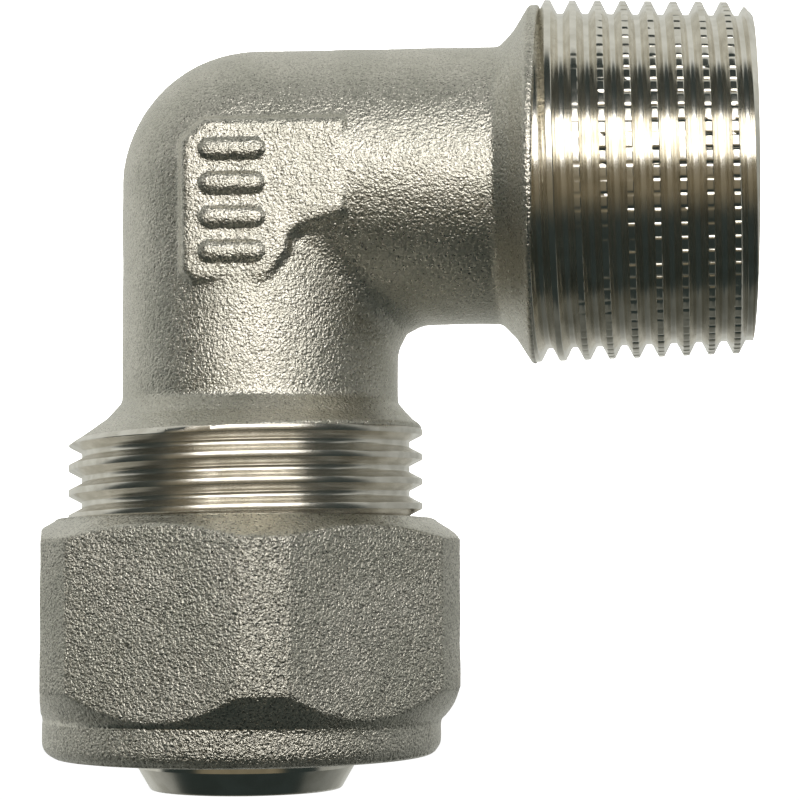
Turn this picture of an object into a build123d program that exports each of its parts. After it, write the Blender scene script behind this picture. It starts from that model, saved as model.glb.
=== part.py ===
"""Right-angle compression fitting: male taper thread to 20 x 2 mm multilayer pipe.

Millimetres. The origin is where the axes of the two machined legs cross. The male leg points along +X, the
compression leg points along -Z, and the flat pad with the die mark faces -Y.
"""

import os
from math import atan, degrees, radians, tan

from build123d import *

# ---- driving dimensions ----------------------------------------------------------------------------------
# thread form, 14 threads per inch on both legs
PITCH = 1.814
FLANK = radians(27.5)
CREST_WIDTH = 0.42
EMBED = 0.3  # how far a helical ridge reaches into its core
OVERRUN = 8  # extra length of thread past an end, trimmed away
OVERCUT = 0.4  # how far a helical groove opens past the crests

# cutting bodies
MARGIN = 1  # how far they reach past the surface that they cut
FAR = 60  # larger than the fitting

# forged elbow
NECK_R = 9.95
NECK_X = 1.05  # the forging sits a little off the machined axes
NECK_Z = -0.25
THROAT_R = 2.75
NECK_FILLET = 0.9
WATERWAY_R = 7.0
DRILL_OVERRUN = 1.0  # past the crossing, before the drill's point
DRILL_POINT = 4.2

# male leg, 3/4 taper thread; radii are at the gauge plane
MALE_END = 37.2
MALE_GAUGE = MALE_END - 9.5
MALE_ROOT_R = 12.06
MALE_CREST_R = 13.02
TAPER = 1 / 32  # radius per length
MALE_CREST_AT_TOP = 22.39  # where the first crest crosses +Z
MALE_CHAMFER = 0.85
SHOULDER_START = 19.1
SHOULDER_END = 21.1
SHOULDER_RIM = 21.7
SHOULDER_R = 13.15
SHOULDER_TILT = 1.1

# compression leg, 3/4 parallel thread
PORT_END = -30.2
PORT_ROOT_R = 12.0
PORT_CREST_R = 12.95
PORT_CREST_AT_X = -18.3  # where the first crest crosses +X
PORT_CONE_START = -16.35
PORT_CONE_END = -19.3
PORT_CONE_R = 14.0
PORT_CHAMFER = 0.7
PORT_GROOVES = 9

# conical seat inside the compression leg
SEAT_MOUTH_R = 9.6
SEAT_TOP = -25.5
SEAT_SLOPE = tan(radians(11))

# marking pad on the front of the elbow
PAD_FACE = 9.97
PAD_DEPTH = 3.0
PAD_LEFT, PAD_RIGHT = -2.8, 8.3
PAD_BOTTOM, PAD_TOP = -8.1, 2.95
PAD_STEP_X, PAD_STEP_Z = 4.6, -4.6
PAD_STEP_RISE = 1.2
PAD_STEP_HALF_WIDTH = 0.3
PAD_STEP_DROP = 0.6
PAD_CORNER = 1.4
PAD_EDGE_R = 0.25
PAD_DRAFT = 22
MARK_HEIGHT = 0.36
MARK_EMBED = 0.1
MARK_DRAFT = 15
MARK_LENGTH = 4.4
MARK_WIDTH = 1.15
MARK_STEP = 2.4
MARK_BARS = 4
MARK_X, MARK_Z = 0.6, -2.6

# pipe insert
SHANK_R = 7.9
INSERT_BORE_R = 5.9
INSERT_TOP = -25.8
INSERT_TIP = -44.3
TIP_R = 6.95
TIP_CHAMFER = 1.65
TIP_EDGE = 0.3
COLLAR_R = 10.6
COLLAR_TOP = -30.4
COLLAR_THICKNESS = 1.0
SEAT_GAP = 0.05

# seals
PIPE_WIRE_R = 0.78
PIPE_GROOVE_R = 6.6
PIPE_GROOVE_WIDTH = 2.1
PIPE_GROOVE_Z = (-34.9, -38.7)
CONE_WIRE_R = 0.48
CONE_GROOVE_R = 8.1
CONE_GROOVE_WIDTH = 1.3
CONE_GROOVE_Z = -28.2
SEAL_GAP = 0.02

# isolating washer
WASHER_R = 10.4
WASHER_THICKNESS = 0.8
WASHER_GAP = 0.05

# split ring
SPLIT_BORE_R = 10.15
SPLIT_R = 12.35
SPLIT_TOP = -34.3
SPLIT_BOTTOM = -40.2
SPLIT_CONE = 1.6
SLIT_WIDTH = 1.3
GRIP_GROOVES = 3
GRIP_PITCH = 1.3
GRIP_DEPTH = 0.35
GRIP_WIDTH = 0.7

# compression nut
NUT_FLATS = 29.8
NUT_CORNER_R = 16.3
NUT_TURN = 13.4  # from -Y towards +X to one corner
NUT_TOP = -24.6
NUT_BOTTOM = -41.9
NUT_FACE_R = 13.7
NUT_TOP_BEVEL = 0.6  # drop per radius
NUT_MOUTH_CHAMFER = 0.1
NUT_HEX_END = -36.9
NUT_COLLAR_R = 14.55
NUT_COLLAR_TOP = -39.2
NUT_COLLAR_SHIFT = -0.25  # the forged collar is slightly off the hexagon
NUT_FOOT_R = 1.2
NUT_EDGE_R = 0.35
NUT_RELIEF_TOP, NUT_RELIEF_END = -31.9, -33.7
NUT_RELIEF_R = 13.3
NUT_GROOVE_START = 8  # pitches below the elbow's first crest
NUT_GROOVE_TURNS = 6
NUT_BORE_R = 12.65
PIPE_HOLE_R = 10.35
PIPE_HOLE_CHAMFER = 0.4
THREAD_RADIAL_GAP = 0.25
THREAD_FLANK_GAP = 0.12
CONE_GAP = 0.2  # measured along the axis

FROM_BOTTOM = (Align.CENTER, Align.CENTER, Align.MIN)
FROM_TOP = (Align.CENTER, Align.CENTER, Align.MAX)
ALONG_X = Rot(0, 90, 0)


# ---- helpers ---------------------------------------------------------------------------------------------
def outline(points):
    """Closed face in the XZ plane from (radius, height) points."""
    return Plane.XZ * make_face(Polyline(*points, close=True))


def turned(points):
    """Solid of revolution about Z from (radius, height) points."""
    return revolve(outline(points), Axis.Z)


def turned_with_fillet(points, corner, radius):
    """The same, with the outline's vertex nearest to corner rounded."""
    face = outline(points)
    vertex = face.vertices().sort_by_distance((corner[0], 0, corner[1]))[0]
    return revolve(fillet(vertex, radius), Axis.Z)


def ridge(root_r, tip_r, tip_width, start, turns, cone_angle=0.0):
    """Right-hand helical ridge about Z. It crosses +X at height start and climbs."""
    path = Helix(PITCH, turns * PITCH, root_r, center=(0, 0, start), cone_angle=cone_angle)
    section = Plane(origin=path @ 0, x_dir=(1, 0, 0), z_dir=path % 0)
    height = tip_r - root_r
    tip = tip_width / 2
    foot = tip + height * tan(FLANK)
    half = [(-EMBED, foot), (0, foot), (height, tip)]
    other_half = [(x, -y) for x, y in reversed(half)]
    return sweep(section * make_face(Polyline(*half, *other_half, close=True)), path=path, is_frenet=True)


# ---- elbow body ------------------------------------------------------------------------------------------
def forged_bend():
    """Two round necks that meet in a round outer corner, with a filleted throat."""
    centre = Pos(NECK_X, 0, NECK_Z)
    upright = centre * Cylinder(NECK_R, NECK_Z - PORT_CONE_START - MARGIN, align=FROM_TOP)
    level = centre * ALONG_X * Cylinder(NECK_R, SHOULDER_START - NECK_X - MARGIN, align=FROM_BOTTOM)
    bend = upright + level + centre * Sphere(NECK_R)
    return fillet(bend.edges().filter_by(GeomType.ELLIPSE), THROAT_R)


def flare(start, end, rim, radius):
    """Cone that widens from the neck to a rim, about Z."""
    inside = start - MARGIN
    points = [(0, inside), (NECK_R, inside), (NECK_R, start), (radius, end), (radius, rim), (0, rim)]
    return turned_with_fillet(points, (NECK_R, start), NECK_FILLET)


def beyond_male_rim():
    """Everything past the tilted plane on which the male thread's first groove runs out."""
    block = ALONG_X * Box(FAR, FAR, FAR, align=FROM_BOTTOM)
    return Pos(SHOULDER_RIM, 0, 0) * Rot(0, SHOULDER_TILT, 0) * block


def male_shoulder():
    """Flare of the male leg."""
    body = flare(SHOULDER_START, SHOULDER_END, SHOULDER_RIM + MARGIN, SHOULDER_R)
    return Pos(0, 0, NECK_Z) * ALONG_X * body - beyond_male_rim()


def male_radius(at_gauge, along):
    return at_gauge - (along - MALE_GAUGE) * TAPER


def male_thread():
    """Taper-threaded spigot about Z, small end up."""
    back, beyond = SHOULDER_END, MALE_END + OVERRUN
    start = MALE_CREST_AT_TOP - PITCH / 2
    root_back, root_beyond = male_radius(MALE_ROOT_R, back), male_radius(MALE_ROOT_R, beyond)
    core = turned([(0, back), (root_back, back), (root_beyond, beyond), (0, beyond)])
    helix = ridge(
        male_radius(MALE_ROOT_R, start),
        male_radius(MALE_CREST_R, start),
        CREST_WIDTH,
        start,
        turns=10,
        cone_angle=-degrees(atan(TAPER)),
    )
    tip_r = male_radius(MALE_CREST_R, MALE_END)
    clear_r = MALE_CREST_R + MARGIN
    chamfer_start = MALE_END - MALE_CHAMFER
    blank = turned(
        [
            (0, back - MARGIN),
            (clear_r, back - MARGIN),
            (clear_r, chamfer_start - (clear_r - tip_r)),
            (tip_r - MALE_CHAMFER, MALE_END),
            (0, MALE_END),
        ]
    )
    return (core + helix) & blank


def thread_groove(root_r, crest_r, start, turns):
    """Right-hand helical groove about Z, to cut away. It crosses +X at height start and climbs."""
    path = Helix(PITCH, turns * PITCH, root_r, center=(0, 0, start))
    section = Plane(origin=path @ 0, x_dir=(1, 0, 0), z_dir=path % 0)
    height = crest_r - root_r + OVERCUT
    foot = (PITCH - CREST_WIDTH) / 2 - (crest_r - root_r) * tan(FLANK)
    mouth = foot + height * tan(FLANK)
    half = [(0, foot), (height, mouth)]
    other_half = [(x, -y) for x, y in reversed(half)]
    return sweep(section * make_face(Polyline(*half, *other_half, close=True)), path=path, is_frenet=True)


def port_leg():
    """Compression leg: forged flare, turned down to the crests, with the thread cut up to the flare.

    The groove starts a quarter turn past +X, at the back.
    """
    beyond = PORT_CONE_START - PORT_GROOVES * PITCH - OVERRUN
    body = flare(-PORT_CONE_START, -PORT_CONE_END, -beyond, PORT_CONE_R)
    body = Pos(NECK_X, 0, 0) * Rot(180, 0, 0) * body & Cylinder(PORT_CREST_R, 2 * FAR)
    first = PORT_CREST_AT_X - PITCH / 2 + PITCH / 4
    start = first - PORT_GROOVES * PITCH
    body -= Rot(0, 0, 90) * thread_groove(PORT_ROOT_R, PORT_CREST_R, start, PORT_GROOVES)
    clear_r = PORT_CREST_R + MARGIN
    blank = turned(
        [
            (0, NECK_Z),
            (clear_r, NECK_Z),
            (clear_r, PORT_END + PORT_CHAMFER + MARGIN),
            (PORT_CREST_R - PORT_CHAMFER, PORT_END),
            (0, PORT_END),
        ]
    )
    return body & blank


def pad():
    """Raised flat for the die mark. Its face is level with the crowns of both necks."""
    corner = PAD_CORNER
    step_left = PAD_STEP_X - PAD_STEP_HALF_WIDTH
    points = [
        (PAD_LEFT, PAD_TOP - corner),
        (PAD_LEFT + corner, PAD_TOP),
        (PAD_RIGHT, PAD_TOP),
        (PAD_RIGHT, PAD_STEP_Z + PAD_STEP_RISE),
        (PAD_STEP_X + PAD_STEP_HALF_WIDTH, PAD_STEP_Z),
        (step_left, PAD_STEP_Z - PAD_STEP_DROP),
        (step_left, PAD_BOTTOM + corner + PAD_STEP_DROP),
        (step_left - corner, PAD_BOTTOM),
        (PAD_LEFT + corner / 2, PAD_BOTTOM),
        (PAD_LEFT, PAD_BOTTOM + corner / 2),
    ]
    front = Plane(origin=(0, -PAD_FACE, 0), x_dir=(1, 0, 0), z_dir=(0, -1, 0))
    block = extrude(front * make_face(Polyline(*points, close=True)), -PAD_DEPTH, taper=-PAD_DRAFT)
    rim = block.edges().group_by(Axis.Y)[0]
    return fillet(rim, PAD_EDGE_R)


def die_mark():
    """Plain raised bars, in place of any lettering."""
    front = Plane(origin=(0, -PAD_FACE + MARK_EMBED, 0), x_dir=(1, 0, 0), z_dir=(0, -1, 0))
    bar = extrude(front * SlotOverall(MARK_LENGTH, MARK_WIDTH), MARK_HEIGHT + MARK_EMBED, taper=MARK_DRAFT)
    lowest = MARK_Z - (MARK_BARS - 1) / 2 * MARK_STEP
    return [Pos(MARK_X, 0, lowest + index * MARK_STEP) * bar for index in range(MARK_BARS)]


def seat_radius(height):
    """Radius of the conical seat for the insert."""
    return SEAT_MOUTH_R + (PORT_END - height) * SEAT_SLOPE


def waterways():
    """The two drilled passages and the conical seat for the insert."""
    shoulder = -DRILL_OVERRUN
    drill = turned([(0, shoulder - DRILL_POINT), (WATERWAY_R, shoulder), (WATERWAY_R, FAR), (0, FAR)])
    level = ALONG_X * drill
    upright = Rot(180, 0, 0) * drill
    beyond = PORT_END - MARGIN
    top_r = seat_radius(SEAT_TOP)
    seat = turned([(0, SEAT_TOP), (top_r, SEAT_TOP), (seat_radius(beyond), beyond), (0, beyond)])
    return [level, upright, seat]


def elbow_body():
    forged = forged_bend() + male_shoulder() + pad() + die_mark()
    level = ALONG_X * male_thread() & beyond_male_rim()
    return forged + level + port_leg() - waterways()


# ---- insert and seals ------------------------------------------------------------------------------------
def groove(root_r, outer_r, centre, width):
    low, high = centre - width / 2, centre + width / 2
    return turned([(root_r, low), (outer_r, low), (outer_r, high), (root_r, high)])


def pipe_insert():
    collar_end = COLLAR_TOP - COLLAR_THICKNESS
    neck_r = seat_radius(PORT_END) - SEAT_GAP
    points = [
        (INSERT_BORE_R, INSERT_TOP),
        (seat_radius(INSERT_TOP) - SEAT_GAP, INSERT_TOP),
        (neck_r, PORT_END),
        (neck_r, COLLAR_TOP),
        (COLLAR_R, COLLAR_TOP),
        (COLLAR_R, collar_end),
        (SHANK_R, collar_end),
        (SHANK_R, INSERT_TIP + TIP_CHAMFER),
        (TIP_R, INSERT_TIP),
        (INSERT_BORE_R + TIP_EDGE, INSERT_TIP),
        (INSERT_BORE_R, INSERT_TIP + TIP_EDGE),
    ]
    body = turned_with_fillet(points, (TIP_R, INSERT_TIP), TIP_EDGE)
    body -= groove(CONE_GROOVE_R, SEAT_MOUTH_R + MARGIN, CONE_GROOVE_Z, CONE_GROOVE_WIDTH)
    for height in PIPE_GROOVE_Z:
        body -= groove(PIPE_GROOVE_R, SHANK_R + MARGIN, height, PIPE_GROOVE_WIDTH)
    return body


def o_ring(groove_r, wire_r, height):
    return Pos(0, 0, height) * Torus(groove_r + SEAL_GAP + wire_r, wire_r)


def isolating_washer():
    top = COLLAR_TOP - COLLAR_THICKNESS
    bottom = top - WASHER_THICKNESS
    inner = SHANK_R + WASHER_GAP
    return turned([(inner, bottom), (WASHER_R, bottom), (WASHER_R, top), (inner, top)])


# ---- split ring ------------------------------------------------------------------------------------------
def split_ring():
    """Slit ring with a conical foot and three grip grooves in its bore."""
    points = [
        (SPLIT_BORE_R, SPLIT_TOP),
        (SPLIT_R, SPLIT_TOP),
        (SPLIT_R, SPLIT_BOTTOM + SPLIT_CONE),
        (SPLIT_R - SPLIT_CONE, SPLIT_BOTTOM),
        (SPLIT_BORE_R, SPLIT_BOTTOM),
    ]
    body = turned(points)
    middle = (SPLIT_TOP + SPLIT_BOTTOM) / 2
    for index in range(GRIP_GROOVES):
        height = middle + (index - (GRIP_GROOVES - 1) / 2) * GRIP_PITCH
        body -= groove(SPLIT_BORE_R - MARGIN, SPLIT_BORE_R + GRIP_DEPTH, height, GRIP_WIDTH)
    slit = Box(FAR, SLIT_WIDTH, FAR, align=(Align.MIN, Align.CENTER, Align.CENTER))
    return body - Pos(0, 0, middle) * slit


# ---- compression nut -------------------------------------------------------------------------------------
def nut_blank():
    """Forged hexagon, bevelled above and below, on a round collar."""
    corner_drop = (NUT_CORNER_R - NUT_FACE_R) * NUT_TOP_BEVEL
    envelope = turned(
        [
            (0, NUT_TOP),
            (NUT_FACE_R, NUT_TOP),
            (NUT_CORNER_R, NUT_TOP - corner_drop),
            (NUT_CORNER_R, NUT_HEX_END),
            (NUT_COLLAR_R, NUT_COLLAR_TOP),
            (0, NUT_COLLAR_TOP),
        ]
    )
    height = NUT_TOP - NUT_COLLAR_TOP
    hexagon = extrude(RegularPolygon(NUT_FLATS / 2, 6, major_radius=False), -height)
    corner_angle = NUT_TURN - 90
    prism = Pos(0, 0, NUT_TOP) * Rot(0, 0, corner_angle) * hexagon
    corners = prism.edges().filter_by(Axis.Z)
    prism = fillet(corners, NUT_EDGE_R)
    collar = turned_with_fillet(
        [
            (0, NUT_COLLAR_TOP + MARGIN),
            (NUT_COLLAR_R - MARGIN, NUT_COLLAR_TOP + MARGIN),
            (NUT_COLLAR_R, NUT_COLLAR_TOP),
            (NUT_COLLAR_R, NUT_BOTTOM),
            (0, NUT_BOTTOM),
        ],
        (NUT_COLLAR_R, NUT_BOTTOM),
        NUT_FOOT_R,
    )
    return (prism & envelope) + Pos(NUT_COLLAR_SHIFT, 0, 0) * collar


def nut_thread():
    """Internal thread as the body to cut away, with running clearance to the elbow's thread."""
    minor_r = PORT_ROOT_R + THREAD_RADIAL_GAP
    major_r = PORT_CREST_R + THREAD_RADIAL_GAP
    tip_width = CREST_WIDTH + 2 * THREAD_FLANK_GAP - 2 * THREAD_RADIAL_GAP * tan(FLANK)
    top, bottom = NUT_TOP + OVERRUN, NUT_RELIEF_END - MARGIN
    core = Pos(0, 0, top) * Rot(0, 0, 180) * Cylinder(minor_r, top - bottom, align=FROM_TOP)
    start = PORT_CREST_AT_X - NUT_GROOVE_START * PITCH
    return core + ridge(minor_r, major_r, tip_width, start, NUT_GROOVE_TURNS)


def nut_bore():
    """Relief below the thread, bore, cone that presses on the split ring, and pipe hole."""
    cone_foot = SPLIT_BOTTOM + SPLIT_CONE - CONE_GAP - SPLIT_R
    beyond = NUT_BOTTOM - MARGIN
    return turned(
        [
            (0, NUT_RELIEF_TOP),
            (NUT_RELIEF_R, NUT_RELIEF_TOP),
            (NUT_RELIEF_R, NUT_RELIEF_END),
            (NUT_BORE_R, NUT_RELIEF_END),
            (NUT_BORE_R, cone_foot + NUT_BORE_R),
            (PIPE_HOLE_R, cone_foot + PIPE_HOLE_R),
            (PIPE_HOLE_R, NUT_BOTTOM + PIPE_HOLE_CHAMFER),
            (PIPE_HOLE_R + PIPE_HOLE_CHAMFER + MARGIN, beyond),
            (0, beyond),
        ]
    )


def nut_mouth():
    """Lead-in chamfer of the thread."""
    mouth_r = PORT_CREST_R + THREAD_RADIAL_GAP + NUT_MOUTH_CHAMFER
    above = NUT_TOP + MARGIN
    return turned([(0, above), (mouth_r + MARGIN, above), (0, NUT_TOP - mouth_r)])


def compression_nut():
    return nut_blank() - nut_thread() - nut_bore() - nut_mouth()


# ---- write the sub-parts ---------------------------------------------------------------------------------
def main():
    parts = {
        "elbow_body": elbow_body(),
        "pipe_insert": pipe_insert(),
        "insert_cone_seal": o_ring(CONE_GROOVE_R, CONE_WIRE_R, CONE_GROOVE_Z),
        "upper_pipe_o_ring": o_ring(PIPE_GROOVE_R, PIPE_WIRE_R, PIPE_GROOVE_Z[0]),
        "lower_pipe_o_ring": o_ring(PIPE_GROOVE_R, PIPE_WIRE_R, PIPE_GROOVE_Z[1]),
        "isolating_washer": isolating_washer(),
        "split_ring": split_ring(),
        "compression_nut": compression_nut(),
    }
    os.makedirs("parts", exist_ok=True)
    for name, shape in parts.items():
        export_step(shape, f"parts/{name}.step")


if __name__ == "__main__":
    main()
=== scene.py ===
"""Looks of the right-angle compression fitting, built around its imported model. Lengths in metres."""

import math

import bmesh
import bpy
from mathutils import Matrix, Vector
from mathutils.noise import noise as noise_at


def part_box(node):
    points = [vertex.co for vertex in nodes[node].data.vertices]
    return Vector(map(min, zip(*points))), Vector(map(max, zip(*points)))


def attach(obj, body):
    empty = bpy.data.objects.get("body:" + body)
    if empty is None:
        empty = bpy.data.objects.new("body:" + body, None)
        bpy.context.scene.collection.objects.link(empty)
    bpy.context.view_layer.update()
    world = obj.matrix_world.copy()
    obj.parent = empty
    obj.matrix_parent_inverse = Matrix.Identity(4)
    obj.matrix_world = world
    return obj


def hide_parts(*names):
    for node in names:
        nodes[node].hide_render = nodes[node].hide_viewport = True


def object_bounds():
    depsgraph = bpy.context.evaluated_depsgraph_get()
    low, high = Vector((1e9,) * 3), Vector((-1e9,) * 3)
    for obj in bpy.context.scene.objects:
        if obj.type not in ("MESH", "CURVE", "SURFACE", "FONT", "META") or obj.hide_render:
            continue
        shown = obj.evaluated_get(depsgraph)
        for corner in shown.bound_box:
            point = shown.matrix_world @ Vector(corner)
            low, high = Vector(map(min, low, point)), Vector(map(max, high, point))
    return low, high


MM = 0.001

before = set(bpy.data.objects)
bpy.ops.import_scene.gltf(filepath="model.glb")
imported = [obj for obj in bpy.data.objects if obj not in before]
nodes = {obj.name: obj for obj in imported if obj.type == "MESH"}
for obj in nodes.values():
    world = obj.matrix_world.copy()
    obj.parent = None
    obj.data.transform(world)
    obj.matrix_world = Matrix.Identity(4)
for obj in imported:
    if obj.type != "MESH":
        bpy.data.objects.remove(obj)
cad_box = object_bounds()
scene = bpy.context.scene

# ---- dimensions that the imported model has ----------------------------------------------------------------
BODY_LOW, BODY_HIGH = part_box("elbow_body")
NUT_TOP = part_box("compression_nut")[1].z

# threads of both legs
PITCH = 1.814 * MM
FLANK = math.radians(27.5)
CREST_WIDTH = 0.42 * MM
TURNED_EDGE = 0.03 * MM

# male leg, taper thread; radii are at the gauge plane. The crest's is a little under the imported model's, so
# that the piece stays inside the model's box
MALE_END = BODY_HIGH.x
MALE_GAUGE = MALE_END - 9.5 * MM
MALE_ROOT_R = 12.06 * MM
MALE_CREST_R = 13.005 * MM
MALE_TAPER = 1 / 32
MALE_CREST_AT_TOP = 22.39 * MM
MALE_CHAMFER = 0.85 * MM
MALE_RIM = 21.7 * MM
MALE_RIM_TILT = math.radians(1.1)

# compression leg
PORT_END = BODY_LOW.z
PORT_ROOT_R = 12.0 * MM
PORT_CREST_R = 12.95 * MM
PORT_CREST_AT_X = -18.3 * MM
PORT_CHAMFER = 0.7 * MM
SEAT_TOP = PORT_END + 4.7 * MM
SEAT_TOP_R = 8.69 * MM
SEAT_MOUTH_R = 9.6 * MM

# forged elbow and its passages
WATERWAY_R = 7.0 * MM
NECK_R = 9.95 * MM
NECK_X = 1.05 * MM
NECK_Z = -0.25 * MM
FLARE_TOP = -16.35 * MM
FLARE_DROP = 2.95 / 4.05  # height lost per radius gained
PASSAGE_LIMIT = 8.3 * MM  # the passages' walls lie nearer to their axes than this, the outside further

# nut
NUT_FACE_R = 13.7 * MM
NUT_TOP_BEVEL = 0.6
NUT_CORNER_R = 16.3 * MM
NUT_HEX_END = NUT_TOP - 12.3 * MM
NUT_LOW_BEVEL = 2.3 / 1.75
NUT_COLLAR_DROP = 2.4 * MM  # from the end of the hexagon, a little below the collar's top
NUT_BORE_LIMIT = 13.35 * MM  # the bore and its thread lie nearer to the axis than this

# ---- dimensions that only the looks have -----------------------------------------------------------------
NOTCHES = 80
STEPS_PER_NOTCH = 8
NOTCH_DEPTH = 0.10 * MM
NOTCH_HALF_WIDTH = 0.14 * MM
NOTCH_FADE = 2.5 * PITCH
PORT_STEPS = 360
TUBE_SIDES = 160
CREST_ANGLE = math.radians(42)  # sharper edges of a thread stay crisp
VOXEL = 0.2 * MM
SMOOTHING = 3
SWELL = 0.22 * MM
SWELL_LIMIT = 1.3 * MM  # from the neck's radius to where the swelling has died out
SWELL_FADE = 0.9 * MM
ELBOW_LUMPS = ((2.6 * MM, 0.07 * MM), (0.5 * MM, 0.018 * MM))
NUT_LUMPS = ((2.2 * MM, 0.08 * MM), (0.5 * MM, 0.022 * MM))
NUT_SMOOTH_R = 13.9 * MM  # lumps only outside this radius
NUT_SMOOTH_TOP = 0.1 * MM
OVERLAP = 0.3 * MM  # how far a thread's piece reaches into the forging
WELD = 0.0005 * MM

# ---- colours ---------------------------------------------------------------------------------------------
FORGED_LIGHT = (0.80, 0.77, 0.69)
FORGED_DULL = (0.70, 0.68, 0.60)
TURNED_LIGHT = (0.86, 0.83, 0.765)
TURNED_DULL = (0.70, 0.67, 0.60)
BRASS_LIGHT = (0.80, 0.62, 0.30, 1)
BRASS_DULL = (0.62, 0.45, 0.20, 1)
RUBBER_LIGHT = (0.035, 0.034, 0.033, 1)
RUBBER_DARK = (0.018, 0.018, 0.018, 1)
PLASTIC_LIGHT = (0.86, 0.85, 0.82, 1)
PLASTIC_DARK = (0.78, 0.77, 0.73, 1)
WHITE = (1, 1, 1, 1)
FLOOR_GREY = (0.92, 0.92, 0.92, 1)
STUDIO_DARK = (0.027, 0.036, 0.034, 1)
STUDIO_WARM = (0.21, 0.18, 0.12, 1)
STUDIO_LOW = (0.12, 0.125, 0.11, 1)
STUDIO_HIGH = (0.66, 0.67, 0.63, 1)
KEY_COLOUR = (1, 0.99, 0.96)

# ---- stage -----------------------------------------------------------------------------------------------
FLOOR_FLAT_R = 0.35
FLOOR_WALL_R = 0.6
FLOOR_WALL_HEIGHT = 0.9
FLOOR_DROP = 0.05 * MM
FLOOR_SIDES = 96
FLOOR_STEPS = 12
CAMERA_PLACE = (28.0 * MM, -170.0 * MM, -29.3 * MM)
CAMERA_YAW, CAMERA_PITCH, CAMERA_ROLL = math.radians(3.68), math.radians(2.93), math.radians(0.26)


# ---- nodes and materials ---------------------------------------------------------------------------------
def add(tree, kind, settings=None, **inputs):
    """A shader node with its settings and inputs; an input is a value or another node's output."""
    made = tree.nodes.new(kind)
    for name, value in (settings or {}).items():
        setattr(made, name, value)
    for name, value in inputs.items():
        socket = made.inputs[name.replace("_", " ")]
        if isinstance(value, bpy.types.NodeSocket):
            tree.links.new(value, socket)
        else:
            socket.default_value = value
    return made


def maths(tree, operation, first, second=0.0):
    made = tree.nodes.new("ShaderNodeMath")
    made.operation = operation
    for socket, value in zip(made.inputs, (first, second)):
        if isinstance(value, bpy.types.NodeSocket):
            tree.links.new(value, socket)
        else:
            socket.default_value = value
    return made.outputs[0]


def step(tree, value, low, high):
    """0 below low, 1 above high, smooth between."""
    smooth = {"interpolation_type": "SMOOTHSTEP"}
    made = add(tree, "ShaderNodeMapRange", smooth, Value=value, From_Min=low, From_Max=high)
    return made.outputs["Result"]


def spread(tree, value, low, high):
    """low where value is 0, high where it is 1."""
    return add(tree, "ShaderNodeMapRange", None, Value=value, To_Min=low, To_Max=high).outputs["Result"]


def blend_colour(tree, share, first, second):
    """Mix of two colours."""
    made = tree.nodes.new("ShaderNodeMix")
    made.data_type = "RGBA"
    made.clamp_factor = True
    for socket, value in ((made.inputs[0], share), (made.inputs[6], first), (made.inputs[7], second)):
        if isinstance(value, bpy.types.NodeSocket):
            tree.links.new(value, socket)
        else:
            socket.default_value = value
    return made.outputs[2]


def tint(colour, tone):
    return tuple(c * tone for c in colour) + (1,)


def new_material(name):
    """A material, its tree, its shader and the node for the piece's own coordinates."""
    material = bpy.data.materials.new(name)
    material.use_nodes = True
    tree = material.node_tree
    point = tree.nodes.new("ShaderNodeTexCoord").outputs["Object"]
    return material, tree, tree.nodes["Principled BSDF"], point


def apply(tree, shader, colour, rough, height, depth):
    """Puts a colour, a roughness and a relief of the given depth on the shader."""
    tree.links.new(colour, shader.inputs["Base Color"])
    tree.links.new(rough, shader.inputs["Roughness"])
    bump = add(tree, "ShaderNodeBump", None, Height=height, Distance=depth, Strength=1.0)
    tree.links.new(bump.outputs["Normal"], shader.inputs["Normal"])


def noise(tree, point, size, detail=2.0, roughness=0.5):
    """Noise whose lumps are about size across."""
    values = {"Vector": point, "Scale": 1 / size, "Detail": detail, "Roughness": roughness}
    return add(tree, "ShaderNodeTexNoise", None, **values).outputs["Fac"]


def turning_rings(tree, point, axis, spacing):
    """Noise along one axis only, as a turning tool leaves it."""
    along = add(tree, "ShaderNodeSeparateXYZ", None, Vector=point).outputs[axis]
    line = {"noise_dimensions": "1D"}
    return add(tree, "ShaderNodeTexNoise", line, W=along, Scale=1 / spacing, Detail=3.0).outputs["Fac"]


def forged_nickel(name, grain, depth, tone, pit_shade_tone, smooth=None):
    """Nickel plate over a shot-blasted forging, whose pits are darkened in colour as painted shade.

    smooth(tree, point) is 1 where a tool has skimmed the surface.
    """
    material, tree, shader, point = new_material(name)
    lumps = noise(tree, point, grain, 1.5, 0.5)
    cell = {"feature": "SMOOTH_F1"}
    cells = add(tree, "ShaderNodeTexVoronoi", cell, Vector=point, Scale=0.6 / grain, Smoothness=0.35)
    coarse = noise(tree, point, 2 * grain, 1.0)
    fine = noise(tree, point, 0.5 * grain, 1.0)
    waves = noise(tree, point, 2.5 * MM, 2.0)
    stain = noise(tree, point, 5 * MM, 3.0)

    light, dull = tint(FORGED_LIGHT, tone), tint(FORGED_DULL, tone)
    clean = blend_colour(tree, step(tree, stain, 0.35, 0.65), light, dull)
    # painted shade: where the lumps sink into pits, the colour darkens to the pit tone, standing in for the
    # shade that falls in them
    colour = blend_colour(tree, step(tree, lumps, 0.34, 0.50), tint(FORGED_LIGHT, pit_shade_tone), clean)
    shader.inputs["Metallic"].default_value = 1.0

    height = maths(tree, "ADD", lumps, maths(tree, "MULTIPLY", coarse, 0.3))
    height = maths(tree, "SUBTRACT", height, maths(tree, "MULTIPLY", cells.outputs["Distance"], 0.7))
    height = maths(tree, "ADD", height, maths(tree, "MULTIPLY", fine, 0.28))
    if smooth is not None:
        rest = maths(tree, "SUBTRACT", 1.0, maths(tree, "MULTIPLY", smooth(tree, point), 0.82))
        height = maths(tree, "MULTIPLY", height, rest)
    height = maths(tree, "ADD", height, maths(tree, "MULTIPLY", waves, 0.5))
    apply(tree, shader, colour, spread(tree, coarse, 0.20, 0.40), height, depth)
    return material


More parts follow.
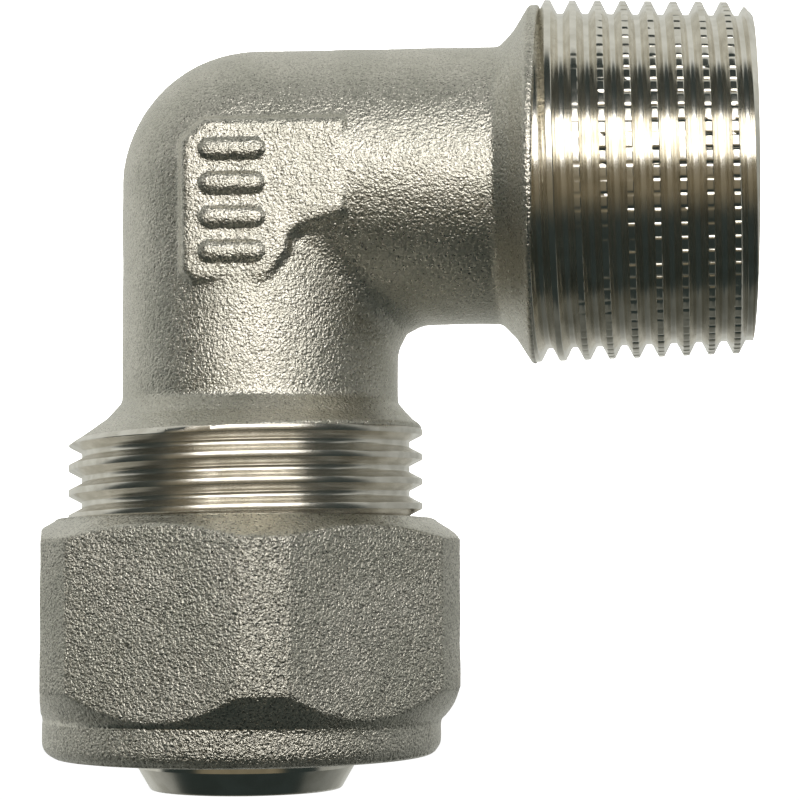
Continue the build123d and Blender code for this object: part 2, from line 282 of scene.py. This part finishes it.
def nut_bevels(tree, point):
    """1 on the turned bevels at both ends of the hexagon."""
    split = add(tree, "ShaderNodeSeparateXYZ", None, Vector=point)
    x, y, z = (split.outputs[axis] for axis in "XYZ")
    squares = maths(tree, "ADD", maths(tree, "MULTIPLY", x, x), maths(tree, "MULTIPLY", y, y))
    radius = maths(tree, "SQRT", squares)
    edge = (0.03 * MM, 0.16 * MM)
    from_face = maths(tree, "MULTIPLY", maths(tree, "SUBTRACT", radius, NUT_FACE_R), NUT_TOP_BEVEL)
    below_top = maths(tree, "SUBTRACT", maths(tree, "SUBTRACT", NUT_TOP, from_face), z)
    from_corner = maths(tree, "MULTIPLY", maths(tree, "SUBTRACT", NUT_CORNER_R, radius), NUT_LOW_BEVEL)
    above_low = maths(tree, "SUBTRACT", maths(tree, "ADD", z, from_corner), NUT_HEX_END)
    collar = NUT_HEX_END - NUT_COLLAR_DROP
    above_collar = step(tree, z, collar, collar + 0.2 * MM)
    inside = maths(tree, "MINIMUM", step(tree, below_top, *edge), step(tree, above_low, *edge))
    return maths(tree, "MULTIPLY", maths(tree, "SUBTRACT", 1.0, inside), above_collar)


def machined_nickel(name, axis, tone=1.0, depth=0.0016 * MM, blur=0.12):
    """Bright nickel over turned brass, with the tool's fine rings about the given axis."""
    material, tree, shader, point = new_material(name)
    rings = turning_rings(tree, point, axis, 0.05 * MM)
    smear = noise(tree, point, 1.6 * MM, 3.0)
    fine = noise(tree, point, 0.12 * MM, 2.0)
    light, dull = tint(TURNED_LIGHT, tone), tint(TURNED_DULL, tone)
    colour = blend_colour(tree, step(tree, smear, 0.3, 0.7), light, dull)
    shader.inputs["Metallic"].default_value = 1.0
    height = maths(tree, "ADD", rings, maths(tree, "MULTIPLY", fine, 0.2))
    apply(tree, shader, colour, spread(tree, smear, blur, blur + 0.11), height, depth)
    return material


def turned_brass(name):
    """Bare brass with fine turning rings about Z and darker smears."""
    material, tree, shader, point = new_material(name)
    rings = turning_rings(tree, point, "Z", 0.06 * MM)
    smear = noise(tree, point, 1.2 * MM, 3.0)
    colour = blend_colour(tree, step(tree, smear, 0.3, 0.7), BRASS_LIGHT, BRASS_DULL)
    shader.inputs["Metallic"].default_value = 1.0
    apply(tree, shader, colour, spread(tree, smear, 0.2, 0.36), rings, 0.004 * MM)
    return material


def moulded(name, light, dark, size, low, high):
    """Moulded rubber or plastic: a faint mottle in colour, in relief and in roughness from low to high."""
    material, tree, shader, point = new_material(name)
    mottle = noise(tree, point, size, 4.0)
    colour = blend_colour(tree, step(tree, mottle, 0.35, 0.65), light, dark)
    apply(tree, shader, colour, spread(tree, mottle, low, high), mottle, 0.01 * MM)
    return material


# ---- mesh helpers ----------------------------------------------------------------------------------------
def cad_copy(node):
    """A welded copy of a CAD node's mesh, as a bmesh."""
    work = bmesh.new()
    work.from_mesh(nodes[node].data)
    bmesh.ops.remove_doubles(work, verts=work.verts, dist=WELD)
    return work


def cut_and_cap(work, origin, normal):
    """Cuts away what lies beyond a plane and closes the cut."""
    everything = [*work.verts, *work.edges, *work.faces]
    cut = bmesh.ops.bisect_plane(
        work, geom=everything, dist=1e-8, plane_co=origin, plane_no=normal, clear_outer=True
    )
    rim = [e for e in cut["geom_cut"] if isinstance(e, bmesh.types.BMEdge)]
    bmesh.ops.triangle_fill(work, edges=rim, use_beauty=True, use_dissolve=False, normal=normal)


def to_object(work, name, materials):
    bmesh.ops.recalc_face_normals(work, faces=work.faces)
    mesh = bpy.data.meshes.new(name)
    work.to_mesh(mesh)
    work.free()
    for material in materials:
        mesh.materials.append(material)
    mesh.shade_smooth()
    piece = bpy.data.objects.new(name, mesh)
    scene.collection.objects.link(piece)
    return piece


def soften(piece):
    """Remeshes a closed piece into small even faces and rounds its edges a little, as a forging's are."""
    remesh = piece.modifiers.new("remesh", "REMESH")
    remesh.mode = "VOXEL"
    remesh.voxel_size = VOXEL
    remesh.use_smooth_shade = True
    smooth = piece.modifiers.new("smooth", "SMOOTH")
    smooth.factor = 0.5
    smooth.iterations = SMOOTHING
    evaluated = piece.evaluated_get(bpy.context.evaluated_depsgraph_get())
    mesh = bpy.data.meshes.new_from_object(evaluated)
    piece.modifiers.clear()
    materials = list(piece.data.materials)
    piece.data = mesh
    mesh.name = piece.name
    mesh.materials.clear()
    for material in materials:
        mesh.materials.append(material)
    mesh.shade_smooth()


def displace(piece, distance):
    """Moves every vertex along its normal by distance(place)."""
    vertices = piece.data.vertices
    normals = [vertex.normal.copy() for vertex in vertices]
    places = [vertex.co.copy() for vertex in vertices]
    for place, normal in zip(places, normals):
        place += normal * distance(place)
    vertices.foreach_set("co", [value for place in places for value in place])
    piece.data.update()


def roughen(piece, where, sizes):
    """Sinks vertices into the surface by noise: sizes are (lump size, depth) pairs."""
    def sink(place):
        if not where(place):
            return 0.0
        return -sum(depth * (1 + noise_at(place / size)) / 2 for size, depth in sizes)

    displace(piece, sink)


# ---- threads ---------------------------------------------------------------------------------------------
def thread_profile(height):
    """(offset from the crest's middle, height share) over one pitch, from root to root."""
    tip = CREST_WIDTH / 2
    foot = tip + height * math.tan(FLANK)
    half = [(tip * 0.8, 1.0), (tip + 0.01 * MM, 0.98)]
    for share in (0.9, 0.8, 0.5, 0.2, 0.06):
        half.append((tip + (1 - share) * (foot - tip), share))
    half.append((foot + 0.05 * MM, 0.0))
    return [(-x, y) for x, y in reversed(half)] + half


def helical_skin(work, axes, profile, first, turns, steps, radius_at):
    """Right-hand thread about axes[2]. Its crest crosses axes[0] at height first and climbs."""
    across, up, along_axis = axes
    rows = []
    for index in range(turns * steps + 1):
        angle = 2 * math.pi * index / steps
        outward = across * math.cos(angle) + up * math.sin(angle)
        crest = first + PITCH * index / steps
        row = []
        for offset, share in profile:
            along = crest + offset
            row.append(work.verts.new(outward * radius_at(along, angle, share) + along_axis * along))
        rows.append(row)
    for index in range(turns * steps):
        low, high = rows[index], rows[index + 1]
        for k in range(len(profile) - 1):
            work.faces.new((low[k], low[k + 1], high[k + 1], high[k]))
        if index + steps < len(rows) - 1:
            after, after_high = rows[index + steps], rows[index + steps + 1]
            work.faces.new((low[-1], after[0], after_high[0], high[-1]))


def tube(work, axes, outline, sides=TUBE_SIDES):
    """Open tube about axes[2] from (radius, height) points. Returns its rings of vertices."""
    across, up, along_axis = axes
    rings = []
    for radius, along in outline:
        ring = []
        for side in range(sides):
            angle = 2 * math.pi * side / sides
            outward = across * math.cos(angle) + up * math.sin(angle)
            ring.append(work.verts.new(outward * radius + along_axis * along))
        rings.append(ring)
    for first, second in zip(rings, rings[1:]):
        for side in range(sides):
            after = (side + 1) % sides
            work.faces.new((first[side], first[after], second[after], second[side]))
    return rings


MALE_AXES = (Vector((0, 0, 1)), Vector((0, -1, 0)), Vector((1, 0, 0)))
PORT_AXES = (Vector((1, 0, 0)), Vector((0, 1, 0)), Vector((0, 0, 1)))


def male_rim():
    """A point on the tilted plane where the male thread starts, and the plane's normal."""
    return Vector((MALE_RIM, 0, 0)), Vector((math.cos(MALE_RIM_TILT), 0, -math.sin(MALE_RIM_TILT)))


def port_rim():
    """The same for the compression thread: the plane follows its first crest round the front."""
    tilt = math.atan(PITCH / 4 / PORT_CREST_R)
    middle = PORT_CREST_AT_X - PITCH / 4
    return Vector((0, 0, middle)), Vector((math.sin(tilt), 0, -math.cos(tilt)))


def notch(along, angle):
    """Uneven depth of the axial notches across the male crests, which fade in over the first ones."""
    spacing = 2 * math.pi / NOTCHES
    across = abs((angle / spacing + 0.5) % 1 - 0.5) * spacing * MALE_CREST_R
    start = MALE_CREST_AT_TOP + 0.6 * PITCH
    share = min(max((along - start) / NOTCH_FADE, 0), 1)
    number = round(angle / spacing)
    uneven = 0.8 + 0.8 * noise_at(Vector((number * 0.73, along / PITCH * 0.9, 0.5)))
    return NOTCH_DEPTH * share * uneven * max(0, 1 - across / NOTCH_HALF_WIDTH)


def male_radius(along, angle, share):
    narrowing = (along - MALE_GAUGE) * MALE_TAPER
    root, crest = MALE_ROOT_R - narrowing, MALE_CREST_R - narrowing
    chamfer = crest - MALE_CHAMFER + (MALE_END - along)
    radius = min(root + (crest - root) * share, crest - notch(along, angle), chamfer)
    return max(radius, WATERWAY_R + 1 * MM)


def port_radius(along, angle, share):
    thread = PORT_ROOT_R + (PORT_CREST_R - PORT_ROOT_R) * share
    chamfer = PORT_CREST_R - PORT_CHAMFER + (along - PORT_END)
    flare = NECK_R + (FLARE_TOP - along) / FLARE_DROP + NECK_X * math.cos(angle) - TURNED_EDGE
    return max(min(thread, chamfer, flare), SEAT_TOP_R + 0.3 * MM)


def finish_thread(piece, axis):
    """Crisp crests, and flat shading on the ends that were cut across the axis."""
    piece.data.set_sharp_from_angle(angle=CREST_ANGLE)
    for face in piece.data.polygons:
        face.use_smooth = abs(face.normal[axis]) < 0.99
    return piece


def male_thread(materials):
    """Taper thread with notched crests, closed by the waterway and two flat ends."""
    work = bmesh.new()
    turns = math.ceil((MALE_END - MALE_RIM) / PITCH) + 3
    profile = thread_profile(MALE_CREST_R - MALE_ROOT_R)
    first = MALE_CREST_AT_TOP - 2 * PITCH
    helical_skin(work, MALE_AXES, profile, first, turns, NOTCHES * STEPS_PER_NOTCH, male_radius)
    chamfer = 0.5 * MM
    wall = [
        (WATERWAY_R, MALE_RIM - 3 * MM),
        (WATERWAY_R, MALE_END - chamfer),
        (WATERWAY_R + 2 * chamfer, MALE_END + chamfer),
    ]
    tube(work, MALE_AXES, wall)
    rim, normal = male_rim()
    cut_and_cap(work, rim - normal * OVERLAP, -normal)
    cut_and_cap(work, Vector((MALE_END, 0, 0)), Vector((1, 0, 0)))
    return finish_thread(to_object(work, "male_thread", materials), 0)


def port_thread(materials):
    """Compression thread, closed by the passage, the conical seat and two flat ends."""
    work = bmesh.new()
    turns = math.ceil((PORT_CREST_AT_X - PORT_END) / PITCH) + 3
    profile = thread_profile(PORT_CREST_R - PORT_ROOT_R)
    first = PORT_CREST_AT_X - (turns - 2) * PITCH
    helical_skin(work, PORT_AXES, profile, first, turns, PORT_STEPS, port_radius)
    slope = (SEAT_MOUTH_R - SEAT_TOP_R) / (SEAT_TOP - PORT_END)
    beyond = 1 * MM
    wall = [
        (SEAT_MOUTH_R + slope * beyond, PORT_END - beyond),
        (SEAT_TOP_R, SEAT_TOP),
        (WATERWAY_R, SEAT_TOP),
        (WATERWAY_R, PORT_CREST_AT_X + 2 * MM),
    ]
    tube(work, PORT_AXES, wall)
    rim, normal = port_rim()
    cut_and_cap(work, rim - normal * OVERLAP, -normal)
    cut_and_cap(work, Vector((0, 0, PORT_END)), Vector((0, 0, -1)))
    return finish_thread(to_object(work, "compression_thread", materials), 2)


# ---- forged pieces ---------------------------------------------------------------------------------------
def outside_of_elbow(point):
    """0 on the walls of the passages, 1 on the outside."""
    in_level = point.x > 0 and math.hypot(point.y, point.z) < PASSAGE_LIMIT
    in_upright = point.z < 0 and math.hypot(point.x, point.y) < PASSAGE_LIMIT
    return 0 if in_level or in_upright else 1


def swelling(place):
    """How far the necks are widened, to what the photograph shows.

    The flares and what lies beyond them stay.
    """
    if not outside_of_elbow(place):
        return 0.0
    x, y, z = place.x - NECK_X, place.y, place.z - NECK_Z
    from_level = math.hypot(y, z) if x > 0 else place.length
    from_upright = math.hypot(x, y) if z < 0 else place.length
    radius = min(from_level, from_upright)
    return SWELL * min(max((NECK_R + SWELL_LIMIT - radius) / SWELL_FADE, 0), 1)


def forging(materials):
    """The elbow between its two threads. The passages' walls get the second material."""
    work = cad_copy("elbow_body")
    cut_and_cap(work, *male_rim())
    cut_and_cap(work, *port_rim())
    piece = to_object(work, "elbow_forging", materials)
    soften(piece)
    displace(piece, swelling)
    roughen(piece, outside_of_elbow, ELBOW_LUMPS)
    for face in piece.data.polygons:
        face.material_index = 1 - outside_of_elbow(face.center)
    return piece


def outside_of_nut(point):
    """1 on the nut's outside, 0 in its bore."""
    beyond_bore = math.hypot(point.x, point.y) > NUT_SMOOTH_R
    return 1 if beyond_bore and point.z < NUT_TOP - NUT_SMOOTH_TOP else 0


def nut_shell(materials):
    """Forged nut with soft edges. Its bore and thread get the second material."""
    piece = to_object(cad_copy("compression_nut"), "union_nut", materials)
    soften(piece)
    roughen(piece, outside_of_nut, NUT_LUMPS)
    for face in piece.data.polygons:
        face.material_index = int(math.hypot(face.center.x, face.center.y) < NUT_BORE_LIMIT)
    return piece


# ---- stage, light and camera -----------------------------------------------------------------------------
def window(tree, value, low, high, soft):
    """1 between low and high, fading to 0 over soft on each side."""
    rise = step(tree, value, low - soft, low + soft)
    fall = step(tree, value, high - soft, high + soft)
    return maths(tree, "SUBTRACT", rise, fall)


def studio_world():
    """Dark studio with a dim warm front and a pale back, as the fitting reflects it.

    The camera sees white.
    """
    world = bpy.data.worlds.new("studio")
    world.use_nodes = True
    scene.world = world
    tree = world.node_tree
    direction = tree.nodes.new("ShaderNodeTexCoord").outputs["Generated"]
    split = add(tree, "ShaderNodeSeparateXYZ", None, Vector=direction)
    x, y, z = (split.outputs[axis] for axis in "XYZ")
    front = maths(tree, "MULTIPLY", y, -1.0)
    azimuth = maths(tree, "MULTIPLY", maths(tree, "ARCTAN2", x, front), 180 / math.pi)
    elevation = maths(tree, "MULTIPLY", maths(tree, "ARCTAN2", z, front), 180 / math.pi)

    # warm front
    card = maths(tree, "MULTIPLY", window(tree, elevation, -24, 30, 14), window(tree, azimuth, -43, 46, 7))
    colour = blend_colour(tree, card, STUDIO_DARK, STUDIO_WARM)
    # pale sides and back, which start further forward overhead and are dimmer on the right
    left_side = step(tree, maths(tree, "MULTIPLY", azimuth, -1), 84, 126)
    right_side = maths(tree, "MULTIPLY", step(tree, azimuth, 98, 170), 0.8)
    side = maths(tree, "MAXIMUM", right_side, left_side)
    behind = maths(tree, "ADD", y, maths(tree, "MULTIPLY", step(tree, z, -0.3, 0.4), 0.32))
    back = maths(tree, "MAXIMUM", side, step(tree, behind, 0.04, 0.18))
    level = maths(tree, "SUBTRACT", 1.0, step(tree, z, 0.15, 0.6))
    right = maths(tree, "MULTIPLY", step(tree, x, 0.0, 0.6), level)
    back = maths(tree, "MULTIPLY", back, maths(tree, "SUBTRACT", 1.0, maths(tree, "MULTIPLY", right, 0.4)))
    pale = blend_colour(tree, step(tree, z, -0.9, -0.1), STUDIO_LOW, STUDIO_HIGH)
    colour = blend_colour(tree, back, colour, pale)
    # plain white backdrop
    seen = tree.nodes.new("ShaderNodeLightPath").outputs["Is Camera Ray"]
    colour = blend_colour(tree, seen, colour, WHITE)
    tree.links.new(colour, tree.nodes["Background"].inputs["Color"])


def softbox(name, azimuth, elevation, distance, width, height, radiance, colour):
    """Soft rectangular light that faces the fitting's middle.

    The angles are in degrees. Azimuth 0 is the front, and +X is to its right.
    """
    middle = (cad_box[0] + cad_box[1]) / 2
    turn, rise = math.radians(azimuth), math.radians(elevation)
    away = Vector((math.sin(turn) * math.cos(rise), -math.cos(turn) * math.cos(rise), math.sin(rise)))
    data = bpy.data.lights.new(name, "AREA")
    data.shape = "RECTANGLE"
    data.size = width
    data.size_y = height
    data.energy = radiance * math.pi * width * height
    data.color = colour
    light = bpy.data.objects.new(name, data)
    light.location = middle + away * distance
    light.rotation_euler = (-away).to_track_quat("-Z", "Y").to_euler()
    scene.collection.objects.link(light)


def stage_floor():
    """Pale round floor that curves up into a wall, so that every view has the same plain ground."""
    material, _, shader, _ = new_material("pale_floor")
    shader.inputs["Base Color"].default_value = FLOOR_GREY
    shader.inputs["Roughness"].default_value = 0.9
    shader.inputs["Emission Color"].default_value = WHITE
    shader.inputs["Emission Strength"].default_value = 1.05

    bend = FLOOR_WALL_R - FLOOR_FLAT_R
    outline = []
    for index in range(FLOOR_STEPS + 1):
        angle = math.pi / 2 * index / FLOOR_STEPS
        outline.append((FLOOR_FLAT_R + bend * math.sin(angle), bend * (1 - math.cos(angle))))
    outline.append((FLOOR_WALL_R, FLOOR_WALL_HEIGHT))
    work = bmesh.new()
    rings = tube(work, PORT_AXES, outline, FLOOR_SIDES)
    work.faces.new(rings[0])
    centre = (cad_box[0] + cad_box[1]) / 2
    bmesh.ops.translate(work, verts=work.verts, vec=(centre.x, centre.y, cad_box[0].z - FLOOR_DROP))

    mesh = bpy.data.meshes.new("floor")
    work.to_mesh(mesh)
    work.free()
    mesh.shade_smooth()
    mesh.materials.append(material)
    floor = bpy.data.objects.new("floor", mesh)
    scene.collection.objects.link(floor)
    floor.visible_glossy = False
    floor.visible_shadow = False


def camera():
    """Slightly right of and below the fitting's middle, looking a little left and up."""
    data = bpy.data.cameras.new("camera")
    data.sensor_width = 36
    data.lens = 104.8
    data.shift_x = -0.098
    data.shift_y = 0.078
    data.clip_start = 0.01
    data.clip_end = 10
    made = bpy.data.objects.new("camera", data)
    made.location = CAMERA_PLACE
    made.rotation_euler = (math.pi / 2 + CAMERA_PITCH, CAMERA_ROLL, CAMERA_YAW)
    scene.collection.objects.link(made)
    scene.camera = made


# ---- build -----------------------------------------------------------------------------------------------
def dress(node, material):
    """Gives a CAD node its finished material."""
    mesh = nodes[node].data
    mesh.materials.clear()
    mesh.materials.append(material)


def build():
    # the last number of each forged finish is the tone of the painted shade in its pits
    forged = forged_nickel("nickel_forged", 0.15 * MM, 0.055 * MM, 0.93, 0.62)
    forged_coarse = forged_nickel("nickel_forged_nut", 0.155 * MM, 0.11 * MM, 0.90, 0.38, nut_bevels)
    bright_x = machined_nickel("nickel_turned_x", "X")
    bright_z = machined_nickel("nickel_turned_z", "Z", 0.97, depth=0.003 * MM, blur=0.19)

    body = forging([forged, bright_z])
    male = male_thread([bright_x])
    port = port_thread([bright_z])
    for piece in (body, male, port):
        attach(piece, "elbow")
        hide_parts("elbow_body")
    nut = nut_shell([forged_coarse, bright_z])
    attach(nut, "nut")
    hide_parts("compression_nut")

    dress("pipe_insert", machined_nickel("insert_turned", "Z", 0.95))
    dress("split_ring", turned_brass("brass_turned"))
    rubber = moulded("rubber", RUBBER_LIGHT, RUBBER_DARK, 0.3 * MM, 0.42, 0.62)
    for seal in ("insert_cone_seal", "upper_pipe_o_ring", "lower_pipe_o_ring"):
        dress(seal, rubber)
    dress("isolating_washer", moulded("ptfe", PLASTIC_LIGHT, PLASTIC_DARK, 0.8 * MM, 0.35, 0.5))

    studio_world()
    softbox(
        "key_softbox",
        azimuth=9,
        elevation=22,
        distance=0.6,
        width=0.78,
        height=0.31,
        radiance=3.3,
        colour=KEY_COLOUR,
    )
    stage_floor()
    camera()
    scene.view_settings.view_transform = "Standard"
    scene.view_settings.look = "None"


build()
